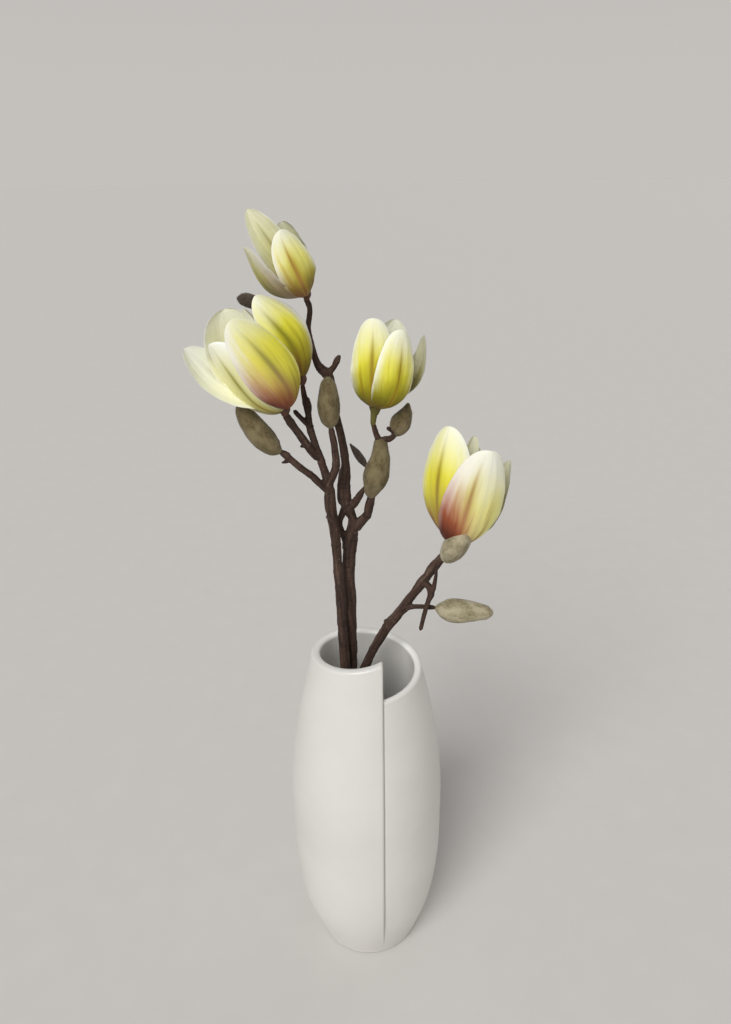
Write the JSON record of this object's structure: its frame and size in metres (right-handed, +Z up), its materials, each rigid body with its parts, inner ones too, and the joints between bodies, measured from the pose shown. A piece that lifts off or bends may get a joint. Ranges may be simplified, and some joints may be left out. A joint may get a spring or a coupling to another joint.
{
  "type": "magnolia branches in a vase",
  "caption": "Magnolia branches with opening blooms and felted buds, standing in a tall rolled-sheet ceramic vase with a falling rim and a seam down its front.",
  "frame": {"origin": "centre of the vase's foot, on the surface it stands on", "axes": "+Z up, -Y to the front, where the vase's seam is, +X to the right seen from the front"},
  "size_m": [0.2079, 0.1242, 0.598],
  "materials": {
    "glaze": "soft gloss",
    "bark": "matte, ridged",
    "petal": "satin",
    "felt": "short felt",
    "dark_bud": "short felt"
  },
  "bodies": {
    "root": {"vase": "glaze", "stem_left": "bark", "stem_right": "bark", "bloom_left": "petal", "bloom_left_back": "petal", "bloom_top": "petal", "bloom_middle": "petal", "bloom_right": "petal", "bract_right": "felt", "bud_left": "felt", "bud_middle": "felt", "bud_forked": "felt", "bud_small": "felt", "bud_low": "felt", "bud_back": "dark_bud", "bud_leaf": "dark_bud"}
  },
  "joints": []
}
